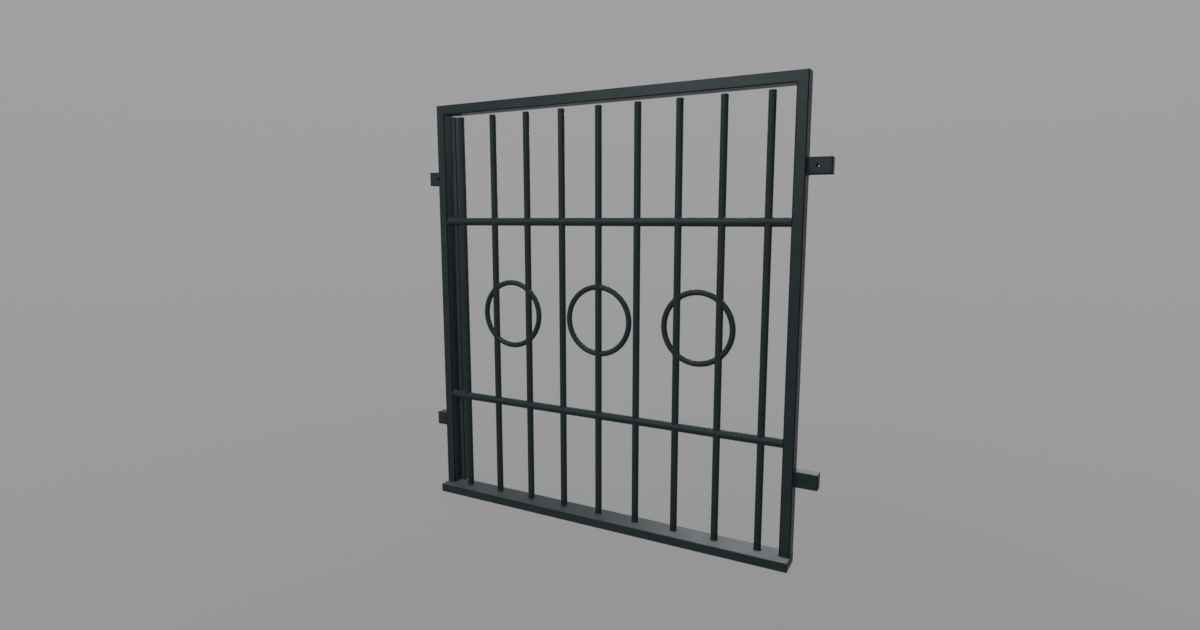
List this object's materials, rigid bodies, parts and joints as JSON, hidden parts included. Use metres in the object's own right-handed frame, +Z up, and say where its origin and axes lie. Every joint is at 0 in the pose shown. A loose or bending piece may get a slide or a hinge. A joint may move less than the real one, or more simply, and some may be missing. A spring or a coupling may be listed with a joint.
{
  "type": "window security grille",
  "caption": "Welded steel window grille with round upright bars through two cross bars, a row of rings, a tube frame on a projecting sill and bolt-on wall lugs.",
  "frame": {"origin": "on the sill's underside, directly below the middle bar's axis", "axes": "+X to the right as seen from outside, +Y in towards the wall and the window, +Z up the bars"},
  "size_m": [1.042, 0.0806, 1.04],
  "materials": {
    "frame_paint": "satin anthracite coating",
    "rod_paint": "satin anthracite coating",
    "lug_paint": "satin anthracite coating"
  },
  "bodies": {
    "root": {"bar_1": "rod_paint", "bar_2": "rod_paint", "bar_3": "rod_paint", "bar_4": "rod_paint", "bar_5": "rod_paint", "bar_6": "rod_paint", "bar_7": "rod_paint", "bar_8": "rod_paint", "bar_9": "rod_paint", "head_rail": "frame_paint", "left_sill_end_cap": "frame_paint", "left_stile": "frame_paint", "left_stop_strip": "frame_paint", "lower_cross_bar": "rod_paint", "lower_left_lug": "lug_paint", "lower_right_lug": "lug_paint", "right_sill_end_cap": "frame_paint", "right_stile": "frame_paint", "ring_1_arc_1": "rod_paint", "ring_1_arc_2": "rod_paint", "ring_1_arc_3": "rod_paint", "ring_1_arc_4": "rod_paint", "ring_2_arc_1": "rod_paint", "ring_2_arc_2": "rod_paint", "ring_3_arc_1": "rod_paint", "ring_3_arc_2": "rod_paint", "ring_3_arc_3": "rod_paint", "ring_3_arc_4": "rod_paint", "sill_tube": "frame_paint", "upper_cross_bar": "rod_paint", "upper_left_lug": "lug_paint", "upper_right_lug": "lug_paint"}
  },
  "joints": []
}
